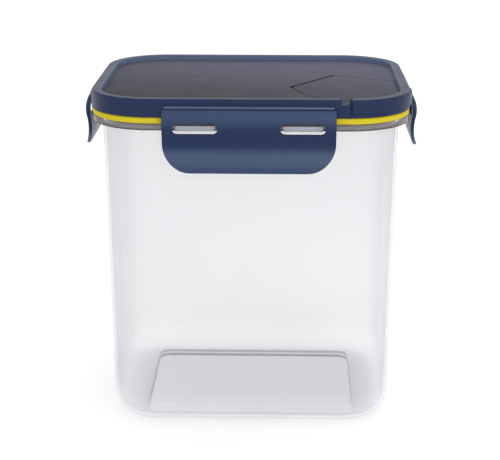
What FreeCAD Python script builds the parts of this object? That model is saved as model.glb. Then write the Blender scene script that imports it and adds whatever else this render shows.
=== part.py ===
"""Clear food canister: a tapered tub under a snap-on lid with four locking clips and a pouring flap.

Millimetres, +Z up. The origin is at the centre of the foot, on the surface the tub stands on.
+X runs along the long side, and the front, with its wide clip, faces -Y.
"""

import FreeCAD
import Part
import math
import os

import Sketcher

doc = FreeCAD.newDocument("food_canister")
sheet = doc.addObject("Spreadsheet::Sheet", "sizes")


class Size:
    """A length held twice: as a number to draw with, and as the sheet expression that drives it."""

    def __init__(self, value, text):
        self.value = value
        self.text = text

    def __add__(self, other):
        return combine(self, "+", other, self.value + number(other))

    def __sub__(self, other):
        return combine(self, "-", other, self.value - number(other))

    def __mul__(self, other):
        return combine(self, "*", other, self.value * number(other))

    def __truediv__(self, other):
        return combine(self, "/", other, self.value / number(other))

    def __neg__(self):
        return Size(-self.value, f"(0 - {self.text})")

    def root(self):
        return Size(math.sqrt(self.value), f"sqrt({self.text})")


NONE = Size(0.0, "0")


def number(size):
    return size.value if isinstance(size, Size) else float(size)


def combine(left, sign, right, value):
    right_text = right.text if isinstance(right, Size) else repr(float(right))
    return Size(value, f"({left.text} {sign} {right_text})")


row = 0


def cell(alias, value):
    """Writes one driving dimension into the sheet and returns it."""
    global row
    row += 1
    sheet.set(f"A{row}", alias)
    sheet.set(f"B{row}", str(value))
    sheet.setAlias(f"B{row}", alias)
    return Size(float(value), f"sizes.{alias}")


# Driving dimensions of the lid's plan, which every ring of the canister runs parallel to
lid_width = cell("lid_width", 152)
lid_depth = cell("lid_depth", 121)
lid_corner = cell("lid_corner", 30)

# Heights: the foot to the flange, then one rise after the other
flange_bottom = cell("flange_bottom", 151.8)
flange_thickness = cell("flange_thickness", 3)
gasket_band = cell("gasket_band", 3.3)
mouth_rise = cell("mouth_rise", 4.7)
lid_skirt_height = cell("lid_skirt_height", 8.4)
plug_lift = cell("plug_lift", 0.7)

# Tub
wall_inset_top = cell("wall_inset_top", 5)
wall_inset_foot = cell("wall_inset_foot", 7.1)
tub_wall = cell("tub_wall", 1.6)
floor_thickness = cell("floor_thickness", 2.2)
foot_radius = cell("foot_radius", 11)
foot_inset = cell("foot_inset", 24)
floor_raise = cell("floor_raise", 1.4)
flange_inset = cell("flange_inset", 0.5)
tab_reach = cell("tab_reach", 0.9)
tab_side_play = cell("tab_side_play", 1.2)
tab_thickness = cell("tab_thickness", 2.4)

# Lid
skirt_wall = cell("skirt_wall", 1.8)
rim_width = cell("rim_width", 4.6)
rim_lean = cell("rim_lean", 0.4)
rim_round = cell("rim_round", 1.2)
rim_inner_round = cell("rim_inner_round", 0.8)
recess_depth = cell("recess_depth", 2.3)
panel_thickness = cell("panel_thickness", 1.8)
plug_inset = cell("plug_inset", 7.6)
plug_wall = cell("plug_wall", 1.6)

# Gasket
gasket_inset = cell("gasket_inset", 0.4)
gasket_cap = cell("gasket_cap", 1)
gasket_play = cell("gasket_play", 0.2)
gasket_round = cell("gasket_round", 0.9)

# Clips and their film hinges
bead_radius = cell("bead_radius", 0.7)
bead_gap = cell("bead_gap", 0.2)
bead_rise = cell("bead_rise", 4.6)
clip_thickness = cell("clip_thickness", 1.7)
clip_bulge = cell("clip_bulge", 3.9)
clip_bulge_drop = cell("clip_bulge_drop", 8.2)
clip_bulge_radius = cell("clip_bulge_radius", 14)
clip_waist_drop = cell("clip_waist_drop", 8.5)
clip_flare_radius = cell("clip_flare_radius", 22)
wide_clip_tip_drop = cell("wide_clip_tip_drop", 12.8)
narrow_clip_tip_drop = cell("narrow_clip_tip_drop", 10.8)
clip_top_drop = cell("clip_top_drop", 0.65)
clip_corner = cell("clip_corner", 13)
clip_edge_inset = cell("clip_edge_inset", 1)
clip_edge_round = cell("clip_edge_round", 0.45)
wide_clip_width = cell("wide_clip_width", 80)
narrow_clip_width = cell("narrow_clip_width", 54)
slot_height = cell("slot_height", 4.9)
slot_end_round = cell("slot_end_round", 2)
wide_slot_length = cell("wide_slot_length", 20.5)
wide_slot_offset = cell("wide_slot_offset", 24.8)
narrow_slot_length = cell("narrow_slot_length", 13)
narrow_slot_offset = cell("narrow_slot_offset", 14.5)

# Pouring flap: plan points of its well, measured in from the lid's right face and up from its front face
flap_front_in = cell("flap_front_in", 24.4)
flap_bend_in = cell("flap_bend_in", 51)
flap_bend_up = cell("flap_bend_up", 24.5)
flap_left_in = cell("flap_left_in", 57)
flap_left_up = cell("flap_left_up", 42.5)
flap_back_in = cell("flap_back_in", 35.5)
flap_back_up = cell("flap_back_up", 73)
flap_right_up = cell("flap_right_up", 58)
flap_side_up = cell("flap_side_up", 30.5)
flap_gap = cell("flap_gap", 0.35)
flap_hinge_gap = cell("flap_hinge_gap", 2)
flap_proud = cell("flap_proud", 0.8)
notch_radius = cell("notch_radius", 3)
notch_depth = cell("notch_depth", 2.4)
flap_skirt_wall = cell("flap_skirt_wall", 1.5)
flap_skirt_lift = cell("flap_skirt_lift", 1.9)
well_roof = cell("well_roof", 1.2)
well_floor_thickness = cell("well_floor_thickness", 2)
well_rim = cell("well_rim", 2)
pour_in = cell("pour_in", 28)
pour_up = cell("pour_up", 28)
pour_radius = cell("pour_radius", 15.5)
stopper_radius = cell("stopper_radius", 12.5)
stopper_wall = cell("stopper_wall", 1.6)
stopper_depth = cell("stopper_depth", 3.6)
stopper_lip_width = cell("stopper_lip_width", 1.3)
stopper_lip_thickness = cell("stopper_lip_thickness", 1.2)
seal_fit = cell("seal_fit", 0.1)

# Running clearance and the overrun by which a cut passes the face that it opens
play = cell("play", 0.3)
overrun = cell("overrun", 6)
join = cell("join", 0.1)

doc.recompute()

# Sizes worked out from the driving ones
half_width = lid_width / 2
half_depth = lid_depth / 2
flange_top = flange_bottom + flange_thickness
skirt_bottom = flange_top + gasket_band
mouth_top = flange_top + mouth_rise
lid_top = skirt_bottom + lid_skirt_height
plug_bottom = flange_bottom + plug_lift
panel_top = lid_top - recess_depth
panel_bottom = panel_top - panel_thickness
channel_roof = mouth_top + play + gasket_cap + gasket_play
gasket_top = channel_roof - gasket_play
bead_height = skirt_bottom + bead_rise
bead_reach = bead_gap + bead_radius
clip_bulge_height = bead_height - clip_bulge_drop
clip_waist_height = clip_bulge_height - clip_waist_drop
slot_middle = flange_bottom + flange_thickness / 2
flap_skirt_bottom = skirt_bottom + flap_skirt_lift
well_floor = channel_roof + well_roof
flap_plate_bottom = well_floor + play
panel_join = plug_inset + plug_wall + overrun / 2


def new_body(label):
    body = doc.addObject("PartDesign::Body", label)
    body.Label = label
    return body


def sketch_on(body, name, role, height=None):
    """A sketch on one of the body's own origin planes, lifted along the plane's normal."""
    planes = [feature for feature in body.Origin.OriginFeatures if feature.Role == role]
    sketch = body.newObject("Sketcher::SketchObject", name)
    sketch.AttachmentSupport = [(planes[0], "")]
    sketch.MapMode = "FlatFace"
    if height is not None:
        sketch.setExpression("AttachmentOffset.Base.z", height.text)
    return sketch


def vector(point):
    return FreeCAD.Vector(number(point[0]), number(point[1]), 0)


def pin(sketch, geometry, vertex, point):
    """Ties one sketch vertex to its place, given as two sizes; a plain zero puts it on the axis.

    A sketch counts its horizontal axis as curve -1, starting at the origin, and its vertical one as -2.
    """
    for kind, size, axis in (("DistanceX", point[0], -2), ("DistanceY", point[1], -1)):
        if not isinstance(size, Size):
            sketch.addConstraint(Sketcher.Constraint("PointOnObject", geometry, vertex, axis))
            continue
        index = sketch.addConstraint(Sketcher.Constraint(kind, -1, 1, geometry, vertex, size.value))
        sketch.setExpression(f"Constraints[{index}]", size.text)


def draw_loop(sketch, points, radii=None):
    """A closed loop through the points. radii gives a side's signed radius where it is an arc.

    A positive radius bulges to the right of the way from one point to the next, a negative one to the left.
    """
    radii = radii or {}
    first = sketch.GeometryCount
    for side, start in enumerate(points):
        end = points[(side + 1) % len(points)]
        a, b = vector(start), vector(end)
        if side not in radii:
            sketch.addGeometry(Part.LineSegment(a, b))
            continue
        radius = radii[side]
        along = b - a
        right = FreeCAD.Vector(along.y, -along.x, 0).normalize()
        size = abs(radius.value)
        rise = size - math.sqrt(size**2 - along.Length**2 / 4)
        middle = (a + b) / 2 + right * math.copysign(rise, radius.value)
        sketch.addGeometry(Part.Arc(a, middle, b))
    for side, start in enumerate(points):
        geometry = first + side
        turned = (sketch.getPoint(geometry, 1) - vector(start)).Length > 1e-6
        begin = 2 if turned else 1
        pin(sketch, geometry, begin, start)
        pin(sketch, geometry, 3 - begin, points[(side + 1) % len(points)])
        if side in radii:
            size = radii[side] if radii[side].value > 0 else -radii[side]
            index = sketch.addConstraint(Sketcher.Constraint("Radius", geometry, size.value))
            sketch.setExpression(f"Constraints[{index}]", size.text)


def draw_round_box(sketch, left, right, low, high, radius, split=False):
    """A rectangle with rounded corners. A split one starts at the middle of its right side."""
    points = [(right, high - radius), (right - radius, high), (left + radius, high), (left, high - radius)]
    points += [(left, low + radius), (left + radius, low), (right - radius, low), (right, low + radius)]
    radii = {side: radius for side in (0, 2, 4, 6)}
    if split:
        points = [(right, 0), *points]
        radii = {side + 1: radius for side in radii}
    draw_loop(sketch, points, radii)


def draw_rounded(sketch, inset, split=False):
    """The lid's plan, drawn in by an inset."""
    x, y = half_width - inset, half_depth - inset
    draw_round_box(sketch, -x, x, -y, y, lid_corner - inset, split)


def draw_circle(sketch, point, radius):
    index = sketch.addGeometry(Part.Circle(vector(point), FreeCAD.Vector(0, 0, 1), radius.value))
    pin(sketch, index, 3, point)
    constraint = sketch.addConstraint(Sketcher.Constraint("Radius", index, radius.value))
    sketch.setExpression(f"Constraints[{constraint}]", radius.text)


def sweep_ring(body, name, profile):
    """Sweeps a closed section round the lid's plan.

    Its points are (inset, height); a third entry is the radius of the arc that starts there.
    """
    path = sketch_on(body, name + "_path", "XY_Plane")
    draw_rounded(path, NONE, split=True)
    section = sketch_on(body, name + "_section", "XZ_Plane")
    radii = {side: point[2] for side, point in enumerate(profile) if len(point) == 3}
    draw_loop(section, [(half_width - point[0], point[1]) for point in profile], radii)
    doc.recompute()
    ring = body.newObject("PartDesign::AdditivePipe", name)
    ring.Profile = section
    ring.Spine = (path, [])
    doc.recompute()
    return ring


def pad(body, name, sketch, length, midplane=False):
    feature = body.newObject("PartDesign::Pad", name)
    feature.Profile = sketch
    feature.Midplane = midplane
    feature.setExpression("Length", length.text)
    doc.recompute()
    return feature


def pocket(body, name, sketch, length=None):
    """Cuts against the sketch's normal, or right through both ways when no length is given."""
    before = body.Shape.Volume
    feature = body.newObject("PartDesign::Pocket", name)
    feature.Profile = sketch
    if length is None:
        feature.Type = "ThroughAll"
        feature.Midplane = True
    else:
        feature.setExpression("Length", length.text)
    doc.recompute()
    if not body.Shape.Volume < before - 1e-3:
        raise RuntimeError(f"{name} cuts nothing")
    return feature


def from_corner(inwards, upwards):
    """A plan point measured from the lid's right and front faces."""
    return (half_width - inwards, upwards - half_depth)


# Outline of the flap's well, from outside the front face, round by the hinge, to outside the right face
rim_inside = half_width - rim_width - rim_lean
outside_x = half_width + overrun
outside_y = half_depth + overrun
hinge_back = from_corner(flap_back_in, flap_back_up)
front_x = half_width - flap_front_in
side_y = flap_side_up - half_depth
outer_run = [(front_x, -outside_y), (outside_x, -outside_y), (outside_x, side_y)]
right_run = [(rim_inside, side_y), (rim_inside, flap_right_up - half_depth)]
inner_run = [hinge_back, from_corner(flap_left_in, flap_left_up), from_corner(flap_bend_in, flap_bend_up)]
well_outline = outer_run + right_run + inner_run
pour_middle = from_corner(pour_in, pour_up)
hinge_side = well_outline.index(hinge_back)


def drawn_in(points, gaps):
    """Each side of a loop moved inwards by its own gap; the loop runs anticlockwise."""
    moved = []
    for corner, (x, y) in enumerate(points):
        before = vector((x, y)) - vector(points[corner - 1])
        after = vector(points[(corner + 1) % len(points)]) - vector((x, y))
        before.normalize()
        after.normalize()
        turn = before.x * after.y - before.y * after.x
        gap_before, gap_after = gaps[corner - 1], gaps[corner]
        moved.append(
            (
                x + gap_before * (after.x / turn) - gap_after * (before.x / turn),
                y + gap_before * (after.y / turn) - gap_after * (before.y / turn),
            )
        )
    return moved


flap_gaps = [flap_gap] * len(well_outline)
flap_gaps[hinge_side] = flap_hinge_gap
for open_side in range(len(outer_run) - 1):
    flap_gaps[open_side] = NONE
flap_outline = drawn_in(well_outline, flap_gaps)
hinge_line = drawn_in(well_outline, [flap_hinge_gap / 2] * len(well_outline))
floor_outline = drawn_in(well_outline, [-well_rim] * len(well_outline))


def foot_curve(inset, low, top_inset, high, radius):
    """Where an arc meets a flat floor and the drafted wall that rises from it: floor point, wall point."""
    lean = inset - top_inset
    rise = high - low
    length = (lean * lean + rise * rise).root()
    reach = radius * rise / (length + lean)
    return (inset + reach, low), (inset - reach * lean / length, low + reach * rise / length)


def make_tub():
    """Clear tub: a drafted wall on a rounded foot, an outward flange with locking tabs and a plain mouth."""
    body = new_body("tub")
    inner_top = wall_inset_top + tub_wall
    inner_foot = wall_inset_foot + tub_wall
    inner_radius = foot_radius - tub_wall
    foot, wall = foot_curve(wall_inset_foot, NONE, wall_inset_top, flange_bottom, foot_radius)
    inner_floor, inner_wall = foot_curve(inner_foot, floor_thickness, inner_top, flange_bottom, inner_radius)
    section = [
        (foot[0], 0, foot_radius),
        wall,
        (wall_inset_top, flange_bottom),
        (flange_inset, flange_bottom),
        (flange_inset, flange_top),
        (wall_inset_top, flange_top),
        (wall_inset_top, mouth_top),
        (inner_top, mouth_top),
        (inner_top, flange_bottom),
        (*inner_wall, -inner_radius),
        inner_floor,
        (foot_inset, floor_thickness),
        (foot_inset, 0),
    ]
    sweep_ring(body, "tub_ring", section)
    floor = sketch_on(body, "floor_plan", "XY_Plane", floor_raise)
    draw_rounded(floor, foot_inset - join)
    pad(body, "floor", floor, floor_thickness)
    tabs = sketch_on(body, "tab_plan", "XY_Plane", flange_bottom)
    root = flange_inset + join
    wide = wide_slot_length / 2 - tab_side_play
    narrow = narrow_slot_length / 2 - tab_side_play
    for side in (1, -1):
        for end in (1, -1):
            a, b = wide_slot_offset * end - wide, wide_slot_offset * end + wide
            y_in, y_out = (half_depth - root) * side, (half_depth + tab_reach) * side
            draw_loop(tabs, [(a, y_in), (b, y_in), (b, y_out), (a, y_out)])
            a, b = narrow_slot_offset * end - narrow, narrow_slot_offset * end + narrow
            x_in, x_out = (half_width - root) * side, (half_width + tab_reach) * side
            draw_loop(tabs, [(x_in, a), (x_out, a), (x_out, b), (x_in, b)])
    pad(body, "locking_tabs", tabs, tab_thickness)
    return body


def rim_crossing(outline, inset):
    """Where the well's front cut crosses the front of the lid's plan drawn in by an inset."""
    (front_x, front_y), (bend_x, bend_y) = outline[0], outline[-1]
    y = inset - half_depth
    return (bend_x + (front_x - bend_x) * (bend_y - y) / (bend_y - front_y), y)


def corner_run(outline, inset):
    """The well's run round the lid's corner at an inset: the front crossing, then the corner arc's ends."""
    x, radius = half_width - inset, lid_corner - inset
    crossing = rim_crossing(outline, inset)
    return [crossing, (x - radius, crossing[1]), (x, crossing[1] + radius)], {1: radius}


def rim_section(face):
    """The rim from its outer face, given as an inset, over the top and down to the recessed panel."""
    return [
        (face, lid_top - rim_round, rim_round),
        (face + rim_round, lid_top),
        (rim_width - rim_inner_round, lid_top, rim_inner_round),
        (rim_width, lid_top - rim_inner_round),
        (rim_width + rim_lean, panel_top),
    ]


def cut_notch(body):
    """The fingernail notch in the rim, half in the lid and half in the flap, at the well's front cut."""
    notch = sketch_on(body, body.Label + "_notch_plan", "XY_Plane", lid_top)
    draw_circle(notch, rim_crossing(well_outline, rim_width / 2), notch_radius)
    pocket(body, body.Label + "_notch", notch, notch_depth)


def make_lid():
    """Lid: rim, skirt and plug wall round a recessed panel, with a well for the flap at one corner."""
    body = new_body("lid")
    inner = plug_inset + plug_wall
    sweep_ring(
        body,
        "lid_ring",
        [
            (NONE, skirt_bottom),
            *rim_section(NONE),
            (panel_join, panel_top),
            (panel_join, panel_bottom),
            (inner, panel_bottom),
            (inner, plug_bottom),
            (plug_inset, plug_bottom),
            (plug_inset, channel_roof),
            (skirt_wall, channel_roof),
            (skirt_wall, skirt_bottom),
        ],
    )
    panel = sketch_on(body, "panel_plan", "XY_Plane", panel_bottom)
    draw_rounded(panel, panel_join - join)
    pad(body, "panel", panel, panel_thickness)

    floor = sketch_on(body, "well_floor_plan", "XY_Plane", well_floor - well_floor_thickness)
    run, radii = corner_run(floor_outline, plug_inset + plug_wall / 2)
    back_right = (run[-1][0], floor_outline[hinge_side - 1][1])
    draw_loop(floor, [*run, back_right, *floor_outline[hinge_side:]], radii)
    pad(body, "well_floor", floor, panel_bottom - well_floor + well_floor_thickness + join)
    well = sketch_on(body, "well_plan", "XY_Plane", lid_top + overrun)
    draw_loop(well, well_outline)
    pocket(body, "well", well, lid_top + overrun - well_floor)
    setback = sketch_on(body, "setback_plan", "XY_Plane", lid_top)
    run, radii = corner_run(well_outline, flap_skirt_wall - flap_proud + play)
    draw_loop(setback, [*run, (run[-1][0], side_y), *reversed(outer_run)], radii)
    pocket(body, "setback", setback, lid_top - flap_skirt_bottom + play)
    hole = sketch_on(body, "pour_hole_plan", "XY_Plane", lid_top)
    draw_circle(hole, pour_middle, pour_radius)
    pocket(body, "pour_hole", hole, lid_top - plug_bottom)
    cut_notch(body)
    return body


def make_gasket():
    """Silicone ring: a lip on the tub's flange, an upstand in the channel and a cap over the tub's mouth."""
    body = new_body("gasket")
    lip_top = skirt_bottom - gasket_play
    inside = wall_inset_top - play
    sweep_ring(
        body,
        "gasket_ring",
        [
            (gasket_inset + gasket_round, flange_top, gasket_round),
            (gasket_inset, flange_top + gasket_round),
            (gasket_inset, lip_top - gasket_round, gasket_round),
            (gasket_inset + gasket_round, lip_top),
            (skirt_wall + gasket_play, lip_top),
            (skirt_wall + gasket_play, gasket_top),
            (plug_inset - gasket_play, gasket_top),
            (plug_inset - gasket_play, mouth_top + play),
            (inside, mouth_top + play),
            (inside, flange_top),
        ],
    )
    return body


def set_on_side(body, side):
    """Turns a piece drawn at the lid's front to one of its sides: 0 front, 1 right, 2 back, 3 left."""
    turn = FreeCAD.Rotation(FreeCAD.Vector(0, 0, 1), 90 * side)
    body.Placement = FreeCAD.Placement(FreeCAD.Vector(), turn)
    axis = "xy"[side % 2 == 0]
    reach = half_width if axis == "x" else half_depth
    body.setExpression(f"Placement.Base.{axis}", (reach if side in (1, 2) else -reach).text)


def make_film_hinge(label, side, clip_width):
    """Film hinge: a moulded strip, flat on the lid's skirt, whose round front is the clip's pivot."""
    body = new_body(label)
    section = sketch_on(body, label + "_section", "YZ_Plane")
    low, high = bead_height - bead_radius, bead_height + bead_radius
    front = (-bead_reach - bead_radius, bead_height)
    points = [(0, low), (0, high), (-bead_reach, high), front, (-bead_reach, low)]
    draw_loop(section, points, {2: bead_radius, 3: bead_radius})
    pad(body, label + "_strip", section, clip_width - clip_edge_inset * 2, midplane=True)
    set_on_side(body, side)
    return body


def make_clip(label, side, clip_width, tip_drop, slot_offset, slot_length):
    """Locking clip: an S-curved plate that bulges over the flange and flares to a lip, with two slots."""
    body = new_body(label)
    upper, lower = clip_bulge_radius, clip_flare_radius
    upper_inner, lower_inner = upper - clip_thickness, lower + clip_thickness
    drop = clip_waist_drop
    clip_bottom = clip_waist_height - tip_drop
    upper_x, upper_z = clip_bulge - upper, clip_bulge_height
    spread = ((upper + lower) * (upper + lower) - drop * drop).root()
    lower_x = upper_x + spread
    top_z = bead_height - clip_top_drop
    top_x = upper_x + (upper * upper - (top_z - upper_z) * (top_z - upper_z)).root()
    tip_x = lower_x - (lower * lower - tip_drop * tip_drop).root()
    tip_inner_x = lower_x - (lower_inner * lower_inner - tip_drop * tip_drop).root()
    share = upper / (upper + lower)
    share_inner = upper_inner / (upper + lower)
    scale_top = upper_inner / upper
    outward = [
        (top_x, top_z),
        (upper_x + (top_x - upper_x) * scale_top, upper_z + (top_z - upper_z) * scale_top),
        (upper_x + spread * share_inner, upper_z - drop * share_inner),
        (tip_inner_x, clip_bottom),
        (tip_x, clip_bottom),
        (upper_x + spread * share, upper_z - drop * share),
    ]
    section = sketch_on(body, label + "_section", "YZ_Plane")
    radii = {1: upper_inner, 2: -lower_inner, 4: lower, 5: -upper}
    draw_loop(section, [(-reach, height) for reach, height in outward], radii)
    pad(body, label + "_plate", section, clip_width, midplane=True)

    corners = sketch_on(body, label + "_corners", "XZ_Plane")
    edge, low, far = clip_width / 2, clip_bottom, overrun
    for end in (1, -1):
        points = [(edge, low + clip_corner), (edge - clip_corner, low), (edge - clip_corner, low - far)]
        points += [(edge + far, low - far), (edge + far, low + clip_corner)]
        draw_loop(corners, [(x * end, z) for x, z in points], {0: clip_corner * -end})
    pocket(body, label + "_corner_cut", corners)
    slots = sketch_on(body, label + "_slots", "XZ_Plane")
    half_length = slot_length / 2
    slot_low, slot_high = slot_middle - slot_height / 2, slot_middle + slot_height / 2
    for end in (1, -1):
        middle = slot_offset * end
        draw_round_box(slots, middle - half_length, middle + half_length, slot_low, slot_high, slot_end_round)
    pocket(body, label + "_slot_cut", slots)
    cut_plate = body.Tip
    rounding = body.newObject("PartDesign::Fillet", label + "_edges")
    rounding.Base = (cut_plate, [])
    rounding.UseAllEdges = True
    rounding.setExpression("Radius", clip_edge_round.text)
    doc.recompute()
    set_on_side(body, side)
    return body


def make_flap():
    """Pouring flap: a corner of the lid's top with its own proud skirt, and a stopper under it."""
    body = new_body("pour_flap")
    skirt_inside = flap_skirt_wall - flap_proud
    sweep_ring(
        body,
        "flap_ring",
        [
            (-flap_proud, flap_skirt_bottom),
            *rim_section(-flap_proud),
            (panel_join, panel_top),
            (panel_join, flap_plate_bottom),
            (skirt_inside, flap_plate_bottom),
            (skirt_inside, flap_skirt_bottom),
        ],
    )
    plate = sketch_on(body, "flap_plate_plan", "XY_Plane", flap_plate_bottom)
    draw_rounded(plate, panel_join - join)
    pad(body, "flap_plate", plate, panel_top - flap_plate_bottom)
    trim = sketch_on(body, "flap_trim_plan", "XY_Plane")
    far_x, far_y = outside_x + overrun, outside_y + overrun
    draw_loop(trim, [(-far_x, -far_y), (far_x, -far_y), (far_x, far_y), (-far_x, far_y)])
    draw_loop(trim, flap_outline)
    pocket(body, "flap_trim", trim)
    cut_notch(body)

    inside = stopper_radius - stopper_wall
    stopper = sketch_on(body, "stopper_plan", "XY_Plane", flap_plate_bottom - stopper_depth)
    draw_circle(stopper, pour_middle, stopper_radius)
    draw_circle(stopper, pour_middle, inside)
    pad(body, "stopper", stopper, stopper_depth + join)
    lip = sketch_on(body, "stopper_lip_plan", "XY_Plane", flap_plate_bottom - stopper_depth)
    draw_circle(lip, pour_middle, stopper_radius + stopper_lip_width)
    draw_circle(lip, pour_middle, inside)
    pad(body, "stopper_lip", lip, stopper_lip_thickness)
    return body


def make_flap_hinge():
    """Film hinge of the flap: a moulded strip that stands on the well's floor, rounded along its top."""
    body = new_body("flap_film_hinge")
    section = sketch_on(body, "flap_hinge_section", "YZ_Plane")
    axis_height = panel_top - bead_radius
    points = [(-bead_radius, well_floor), (bead_radius, well_floor), (bead_radius, axis_height)]
    points += [(0, panel_top), (-bead_radius, axis_height)]
    draw_loop(section, points, {2: bead_radius, 3: bead_radius})
    back, left = vector(hinge_line[hinge_side]), vector(hinge_line[hinge_side + 1])
    along = back - left
    middle = (back + left) / 2
    length = Size(along.Length, repr(along.Length)) - flap_hinge_gap
    pad(body, "flap_hinge_strip", section, length, midplane=True)
    turn = FreeCAD.Rotation(FreeCAD.Vector(1, 0, 0), along)
    body.Placement = FreeCAD.Placement(middle, turn)
    print("flap hinge axis through", middle, "height", axis_height.value, "along", along.normalize())
    return body


def make_flap_seal():
    """Silicone ring stretched over the flap's stopper, between its lip and the flap's plate."""
    body = new_body("flap_seal")
    low = flap_plate_bottom - stopper_depth + stopper_lip_thickness + seal_fit
    ring = sketch_on(body, "flap_seal_plan", "XY_Plane", low)
    draw_circle(ring, pour_middle, pour_radius - play)
    draw_circle(ring, pour_middle, stopper_radius + seal_fit)
    pad(body, "flap_seal_ring", ring, flap_plate_bottom - seal_fit - low)
    return body


pieces = [make_tub(), make_lid(), make_gasket(), make_flap(), make_flap_hinge(), make_flap_seal()]
for side, place in enumerate(("front", "right", "back", "left")):
    if side % 2 == 0:
        sizes = (wide_clip_width, wide_clip_tip_drop, wide_slot_offset, wide_slot_length)
    else:
        sizes = (narrow_clip_width, narrow_clip_tip_drop, narrow_slot_offset, narrow_slot_length)
    pieces.append(make_clip(place + "_clip", side, *sizes))
    pieces.append(make_film_hinge(place + "_film_hinge", side, sizes[0]))

doc.recompute()
os.makedirs("parts", exist_ok=True)
for thing in doc.Objects:
    if "Invalid" in thing.State or "Error" in thing.State:
        raise RuntimeError(f"{thing.Label} did not compute")
for piece in pieces:
    shape = piece.Shape
    if shape.isNull() or not shape.isValid() or len(shape.Solids) != 1:
        raise RuntimeError(f"{piece.Label} is not one valid solid")
    box = shape.BoundBox
    print(piece.Label, round(shape.Volume), box)
    shape.exportStep(f"parts/{piece.Label}.step")
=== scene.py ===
"""Looks of the food canister: clear tub, navy clip lid with a pouring flap, yellow gasket."""

import math

import bpy
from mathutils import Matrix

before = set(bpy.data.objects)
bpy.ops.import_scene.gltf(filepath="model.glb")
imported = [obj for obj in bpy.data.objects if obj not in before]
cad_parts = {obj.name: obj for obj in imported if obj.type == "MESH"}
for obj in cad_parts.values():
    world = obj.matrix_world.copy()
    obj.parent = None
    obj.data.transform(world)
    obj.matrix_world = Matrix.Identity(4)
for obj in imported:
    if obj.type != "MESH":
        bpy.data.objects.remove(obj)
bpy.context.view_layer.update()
bpy.ops.object.select_all(action="DESELECT")

# Tub
# A clear, slightly hazy injection-moulded plastic box with a rounded foot and a flange round its mouth.
# It is one moulding; the haze is thin face on and gathers where the wall is seen edge on.
mm = 0.001


class Field:
    """A shader socket that can be used in sums like a number."""

    def __init__(self, tree, socket):
        self.tree = tree
        self.socket = socket

    def node(self, kind, settings=None, sockets=None, output=0):
        """Adds any shader node: its settings first, then its sockets by name or place."""
        made = self.tree.nodes.new(kind)
        for name, value in (settings or {}).items():
            setattr(made, name, value)
        for name, value in (sockets or {}).items():
            if isinstance(value, Field):
                self.tree.links.new(value.socket, made.inputs[name])
            else:
                made.inputs[name].default_value = value
        return Field(self.tree, made.outputs[output])

    def maths(self, operation, left, right):
        return self.node("ShaderNodeMath", {"operation": operation}, {0: left, 1: right})

    def __add__(self, other):
        return self.maths("ADD", self, other)

    def __radd__(self, other):
        return self.maths("ADD", other, self)

    def __sub__(self, other):
        return self.maths("SUBTRACT", self, other)

    def __rsub__(self, other):
        return self.maths("SUBTRACT", other, self)

    def __mul__(self, other):
        return self.maths("MULTIPLY", self, other)

    def __rmul__(self, other):
        return self.maths("MULTIPLY", other, self)

    def __pow__(self, other):
        return self.maths("POWER", self, other)

    def size(self):
        """The value without its sign."""
        return self.maths("ABSOLUTE", self, 0.0)

    def above(self, limit):
        """How far the value is above a limit, or nothing."""
        return self.maths("MAXIMUM", self - limit, 0.0)

    def axis(self, letter):
        """One coordinate of a vector, X, Y or Z."""
        return self.node("ShaderNodeSeparateXYZ", sockets={0: self}, output="XYZ".index(letter))

    def noise(self, scale):
        """Cloudy variation from 0 to 1 at this place."""
        return self.node("ShaderNodeTexNoise", sockets={"Vector": self, "Scale": scale, "Detail": 3.0})

    def step(self, low, high):
        """0 below one limit, 1 above the other, smooth between them."""
        limits = {"Value": self, "From Min": low, "From Max": high}
        return self.node("ShaderNodeMapRange", {"interpolation_type": "SMOOTHSTEP"}, limits)

    def mix(self, first, second):
        """A colour between two colours, by this factor."""
        ends = [end if isinstance(end, Field) else (*end, 1) for end in (first, second)]
        sockets = {0: self, 6: ends[0], 7: ends[1]}
        return self.node("ShaderNodeMix", {"data_type": "RGBA"}, sockets, output=2)


def linear(*levels):
    """A picture colour, three levels from 0 to 255, as the linear colour that shows as it."""
    parts = [level / 255 for level in levels]
    return tuple(((part + 0.055) / 1.055) ** 2.4 if part > 0.04045 else part / 12.92 for part in parts)


def corners(node):
    """The low and the high corner of a CAD node's box, in metres."""
    points = [vertex.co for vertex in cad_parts[node].data.vertices]
    return [[pick(point[axis] for point in points) for axis in range(3)] for pick in (min, max)]


def new_material(name, **settings):
    """A plastic with constant settings on its shader, and the place field that its variation reads."""
    material = bpy.data.materials.new(name)
    material.use_nodes = True
    tree = material.node_tree
    shader = tree.nodes["Principled BSDF"]
    for socket, value in settings.items():
        shader.inputs[socket.replace("_", " ")].default_value = value
    place = Field(tree, tree.nodes.new("ShaderNodeTexCoord").outputs["Object"])
    return material, shader, place


def feed(shader, socket, field):
    field.tree.links.new(field.socket, shader.inputs[socket])


def dress(material, *nodes):
    """Puts one material into every slot of these CAD nodes."""
    for node in nodes:
        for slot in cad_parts[node].material_slots:
            slot.material = material


lid_half_width, lid_half_depth, lid_top = corners("lid")[1]
gasket_bottom = corners("gasket")[0][2]
thin_haze = linear(168, 167, 181)
thick_haze = linear(182, 181, 195)
# Painted light: near the foot the tint is lightened against the shade that falls there under the lid.
foot_painted_light = linear(238, 236, 248)
# Painted shade: the flange band is a darker grey, with a darker painted shade line near its lower edge.
flange_shade_grey = linear(112, 107, 111)
flange_shade = linear(58, 53, 62)
# Painted highlight for the tabs that stand past the lid's outline.
tab_highlight_grey = linear(184, 187, 200)
clear_alpha = 0.07
upper_alpha = 0.05
foot_clearing = 0.03
edge_alpha = 0.25
cloud_alpha = 0.02
flange_alpha = 0.6

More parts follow.
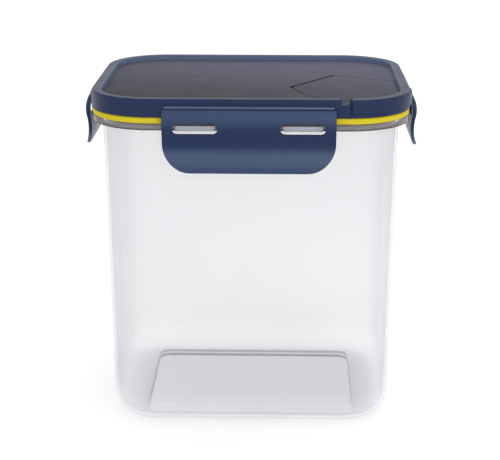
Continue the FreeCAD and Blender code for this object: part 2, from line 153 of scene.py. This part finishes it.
clear, clear_shader, place = new_material("clear_plastic", IOR=1.45)
facing = place.node("ShaderNodeLayerWeight", sockets={"Blend": 0.35}, output=1)
haze = place.noise(scale=18.0)
height = place.axis("Z")
foot = 1.0 - height.step(6 * mm, 20 * mm)
under_gasket = gasket_bottom - height
flange_end = under_gasket.step(3.0 * mm, 3.6 * mm)
flange = under_gasket.step(-0.1 * mm, 0.2 * mm) - flange_end
# Painted shade line near the flange's lower edge.
flange_shade_line = under_gasket.step(2.3 * mm, 2.7 * mm) - flange_end
past_width = place.axis("X").size() - lid_half_width
past_depth = place.axis("Y").size() - lid_half_depth
# Painted highlight on the tabs that stand past the lid's outline.
lit_tabs = past_width.step(-0.3 * mm, 0.1 * mm) + past_depth.step(-0.3 * mm, 0.1 * mm)
# Near the foot the wall tint fades to painted light.
wall_tint = foot.mix(haze.mix(thin_haze, thick_haze), foot_painted_light)
# The flange's colour is painted shade, a painted shade line and a painted highlight on the tabs.
flange_shade_and_highlight = lit_tabs.mix(flange_shade_line.mix(flange_shade_grey, flange_shade), tab_highlight_grey)
wall_alpha = clear_alpha + upper_alpha * height.step(10 * mm, 140 * mm) - foot_clearing * foot
wall_alpha = wall_alpha + edge_alpha * facing**2.0 + cloud_alpha * haze
feed(clear_shader, "Base Color", flange.mix(wall_tint, flange_shade_and_highlight))
feed(clear_shader, "Alpha", wall_alpha + flange_alpha * flange)
feed(clear_shader, "Roughness", 0.1 + 0.08 * haze)
dress(clear, "tub")

# Lid and pouring flap
# A satin navy polypropylene moulding: rim, skirt and recessed panel in one piece, the panel greyer and
# lightened towards its back and right by a painted reflection.
# The flap is cut from the same plastic, and the cut round it looks dark; its fingernail notch is painted
# dark as shade in the hollow.
lid_corner = 30 * mm
cut_half_width = 0.5 * mm
cut_side_fade = 0.4 * mm
cut_end_fade = 0.5 * mm
navy_dark = linear(31, 43, 72)
navy_light = linear(37, 50, 81)
# The panel's front and back colours; the lighter back is a painted reflection.
panel_front = linear(24, 27, 42)
panel_back_sheen = linear(76, 76, 97)
panel_cut = linear(6, 6, 12)
# Painted highlight for the rim's inner wall round the panel.
rim_wall_highlight = linear(84, 100, 126)
# Painted shade for the fingernail notch in the rim.
notch_shade = linear(8, 13, 28)
panel_sheen_slant = 0.3
panel_sheen_reach = 65 * mm


def from_pour_corner(from_right, from_front):
    """A plan point by its distances from the lid's right and front edges."""
    return lid_half_width - from_right, from_front - lid_half_depth


def near_cut(place, start, end):
    """1 along a straight cut in the panel, given by two plan points, fading beyond it."""
    length = math.dist(start, end)
    run_x, run_y = (end[0] - start[0]) / length, (end[1] - start[1]) / length
    x, y = place.axis("X") - start[0], place.axis("Y") - start[1]
    along = x * run_x + y * run_y
    within = along.step(-cut_end_fade, 0.0) * (1.0 - along.step(length, length + cut_end_fade))
    aside = (x * run_y - y * run_x).size()
    return within * (1.0 - aside.step(cut_half_width, cut_half_width + cut_side_fade))


def moulded_grain(place, strength):
    """The shallow unevenness of a moulded surface."""
    sockets = {"Strength": strength, "Distance": 0.2 * mm, "Height": place.noise(scale=900.0)}
    return place.node("ShaderNodeBump", sockets=sockets)


flap_right = from_pour_corner(5 * mm, 58 * mm)
flap_back = from_pour_corner(35.5 * mm, 73 * mm)
flap_left = from_pour_corner(57 * mm, 42.5 * mm)
flap_bend = from_pour_corner(51 * mm, 24.5 * mm)
flap_front = from_pour_corner(34.9 * mm, 5.5 * mm)

navy, navy_shader, place = new_material("lid_navy", IOR=1.5, Specular_IOR_Level=0.12)
cloud = place.noise(scale=60.0)
across = place.axis("X").size().above(lid_half_width - lid_corner)
along = place.axis("Y").size().above(lid_half_depth - lid_corner)
inward = lid_corner - (across * across + along * along) ** 0.5
depth = lid_top - place.axis("Z")
panel = depth.step(1.7 * mm, 2.2 * mm) * inward.step(4.8 * mm, 5.3 * mm)
# Where the painted highlight on the rim's inner wall goes.
lit_inner_wall = inward.step(3.8 * mm, 4.4 * mm)
in_rim = inward.step(0.4 * mm, 0.8 * mm) * (1.0 - inward.step(4.0 * mm, 4.4 * mm))
# Painted shade on the floor of the fingernail notch.
notch = in_rim * depth.step(0.5 * mm, 1.3 * mm)
flap_cuts = 0.5 * near_cut(place, flap_back, flap_right)
for start, end in ((flap_back, flap_left), (flap_left, flap_bend), (flap_bend, flap_front)):
    flap_cuts = flap_cuts + near_cut(place, start, end)
# Painted reflection: the panel lightens from front to back and towards the right.
panel_sheen = (place.axis("Y") + panel_sheen_slant * place.axis("X")).step(-panel_sheen_reach, panel_sheen_reach)
panel_colour = (0.9 * flap_cuts).mix(panel_sheen.mix(panel_front, panel_back_sheen), panel_cut)
rim_colour = lit_inner_wall.mix(cloud.mix(navy_dark, navy_light), rim_wall_highlight)
rim_colour = notch.mix(rim_colour, notch_shade)
feed(navy_shader, "Base Color", panel.mix(rim_colour, panel_colour))
feed(navy_shader, "Roughness", 0.3 + 0.12 * cloud + 0.15 * panel)
feed(navy_shader, "Normal", moulded_grain(place, strength=0.12))
dress(navy, "lid", "pour_flap", "flap_film_hinge")

# Film hinges of the clips
# Thin strips of the lid's own plastic, moulded along its skirt.
# They are glossier than the lid, and their navy is painted lighter as a highlight line along each top.
sides = ("front", "back", "left", "right")
# Painted highlight: the hinges' navy is lighter than the lid's.
hinge_highlight_dark = linear(58, 74, 104)
hinge_highlight_light = linear(66, 82, 112)

hinge, hinge_shader, place = new_material("hinge_highlight_navy", IOR=1.5, Specular_IOR_Level=0.4)
cloud = place.noise(scale=80.0)
feed(hinge_shader, "Base Color", cloud.mix(hinge_highlight_dark, hinge_highlight_light))
feed(hinge_shader, "Roughness", 0.18 + 0.1 * cloud)
dress(hinge, *[side + "_film_hinge" for side in sides])

# Clips
# Four S-curved plates of the lid's plastic, moulded with it and bent down at the film hinges.
# The finger lips are painted lighter as light on their upward-facing flare, and the waist above them is
# painted dark as shade.
clip_bottom = corners("front_clip")[0][2]
clip_dark = linear(46, 62, 93)
clip_light = linear(53, 69, 100)
# Painted light for the finger lip.
lip_painted_light = linear(64, 79, 108)
# Painted shade for the waist.
waist_painted_shade = linear(12, 34, 70)

clip, clip_shader, place = new_material("clip_navy", IOR=1.5, Specular_IOR_Level=0.2)
cloud = place.noise(scale=70.0)
height = place.axis("Z") - clip_bottom
# Painted light on the lip and painted shade in the waist above it.
lip = height.step(0.8 * mm, 5.3 * mm) * (1.0 - height.step(7.3 * mm, 12.3 * mm))
waist = height.step(7.8 * mm, 13.3 * mm) * (1.0 - height.step(18.3 * mm, 25.3 * mm))
clip_colour = lip.mix(cloud.mix(clip_dark, clip_light), lip_painted_light)
feed(clip_shader, "Base Color", (0.85 * waist).mix(clip_colour, waist_painted_shade))
feed(clip_shader, "Roughness", 0.28 + 0.1 * cloud)
feed(clip_shader, "Normal", moulded_grain(place, strength=0.1))
dress(clip, *[side + "_clip" for side in sides])

# Gasket and flap seal
# Two rings moulded from soft yellow silicone, with a matt skin.
# The gasket is pressed into the lid's channel, and the seal is stretched over the flap's stopper.
yellow_dark = linear(200, 180, 30)
yellow_light = linear(216, 198, 42)

silicone, silicone_shader, place = new_material("yellow_silicone", IOR=1.41, Specular_IOR_Level=0.2)
cloud = place.noise(scale=40.0)
feed(silicone_shader, "Base Color", cloud.mix(yellow_dark, yellow_light))
feed(silicone_shader, "Roughness", 0.45 + 0.1 * cloud)
dress(silicone, "gasket", "flap_seal")

# Floor, light and camera
# A white sweep under soft studio light, seen from the photograph's place.
# Floor and sky are whitened only where they are seen, so that doesn't light the object.
floor_size = 6
floor_drop = 0.3 * mm
floor_white = (0.96, 0.96, 0.96)
floor_bright = (0.98, 0.98, 0.98)
no_glow = (0, 0, 0)
seen_glow = (0.2, 0.2, 0.2)
side_light = 0.84
overhead_light = 0.05
lamp_aim = (0, 0, 0.1)
camera_place = (0.01595, -0.6523, 0.2890)
camera_dip_degrees = 17.32
camera_turn_degrees = 1.497
lens_mm = 95.17


def seen_rays(tree):
    """1 where a surface is seen directly, in gloss or through glass, and 0 where it only lights others."""
    path = tree.nodes.new("ShaderNodeLightPath")
    kinds = ("Is Camera Ray", "Is Glossy Ray", "Is Transmission Ray")
    camera_ray, glossy_ray, clear_ray = [Field(tree, path.outputs[kind]) for kind in kinds]
    return camera_ray.maths("MINIMUM", camera_ray + glossy_ray + clear_ray, 1.0)


def add_lamp(name, place, size, power):
    """A square soft box that looks at the canister."""
    bpy.ops.object.light_add(type="AREA", location=place)
    lamp = bpy.context.object
    lamp.name = name
    lamp.data.size = size
    lamp.data.energy = power
    way = [end - start for start, end in zip(place, lamp_aim)]
    tilt = math.acos(way[2] / math.hypot(*way)) - math.pi
    lamp.rotation_euler = (tilt, 0, math.atan2(way[0], -way[1]))


bpy.ops.mesh.primitive_plane_add(size=floor_size, location=(0, 0, -floor_drop))
floor = bpy.context.object
floor.name = "floor"
paper, paper_shader, place = new_material("white_floor", Roughness=0.9, Emission_Strength=1)
feed(paper_shader, "Base Color", place.noise(scale=3.0).mix(floor_white, floor_bright))
feed(paper_shader, "Emission Color", seen_rays(place.tree).mix(no_glow, seen_glow))
floor.data.materials.append(paper)

scene = bpy.context.scene
scene.world = bpy.data.worlds.new("studio")
scene.world.use_nodes = True
tree = scene.world.node_tree
sky = tree.nodes["Background"]
sky.inputs["Color"].default_value = (1, 1, 1, 1)
seen = seen_rays(tree)
way = Field(tree, tree.nodes.new("ShaderNodeTexCoord").outputs["Generated"])
sky_level = side_light + overhead_light * way.axis("Z").above(0.0)
feed(sky, "Strength", seen + (1.0 - seen) * sky_level)

add_lamp("top_box", place=(0.3, 0.3, 1.4), size=1.2, power=2)
add_lamp("front_box", place=(0.5, -1.3, 0.7), size=0.9, power=5)

bpy.ops.object.camera_add(location=camera_place)
camera = bpy.context.object
camera.rotation_euler = (math.radians(90 - camera_dip_degrees), 0, math.radians(camera_turn_degrees))
camera.data.sensor_width = 36
camera.data.lens = lens_mm
camera.data.clip_start = 10 * mm
scene.camera = camera
scene.view_settings.view_transform = "Standard"
